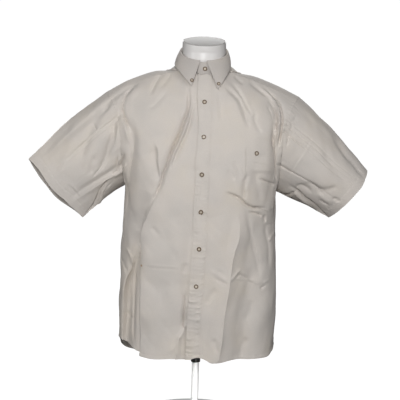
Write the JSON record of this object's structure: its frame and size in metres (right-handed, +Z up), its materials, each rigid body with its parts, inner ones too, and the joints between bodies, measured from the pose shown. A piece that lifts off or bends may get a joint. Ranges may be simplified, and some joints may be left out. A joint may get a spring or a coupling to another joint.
{
  "type": "short-sleeve shirt on a dress form",
  "caption": "Short-sleeve button-down shirt with a chest pocket, worn by a limbless dress form with a capped neck, on a slim pole and a round base plate.",
  "frame": {"origin": "middle of the base plate's underside, on the surface that the stand stands on", "axes": "+Z up, the shirt's front faces -Y, +X towards the wearer's left"},
  "size_m": [0.8814, 0.3083, 1.0036],
  "materials": {
    "twill_cloth": "stone beige cotton twill, matt",
    "button_plastic": "brown-rimmed shirt buttons with pale centres",
    "form_white": "smooth white shell",
    "cap_grey": "pale grey flat cap",
    "socket_black": "black socket tube",
    "stand_white": "white painted steel"
  },
  "bodies": {
    "root": {"front_right": "twill_cloth", "front_left": "twill_cloth", "back": "twill_cloth", "yoke": "twill_cloth", "sleeve_right": "twill_cloth", "sleeve_left": "twill_cloth", "collar_band": "twill_cloth", "collar_fall": "twill_cloth", "placket": "twill_cloth", "pocket": "twill_cloth", "button_1": "button_plastic", "button_2": "button_plastic", "button_3": "button_plastic", "button_4": "button_plastic", "button_5": "button_plastic", "button_6": "button_plastic", "button_7": "button_plastic", "collar_button_right": "button_plastic", "collar_button_left": "button_plastic", "pocket_button": "button_plastic", "dress_form": "form_white", "neck_cap": "cap_grey", "pole_socket": "socket_black", "pole": "stand_white", "base_plate": "stand_white"}
  },
  "joints": []
}
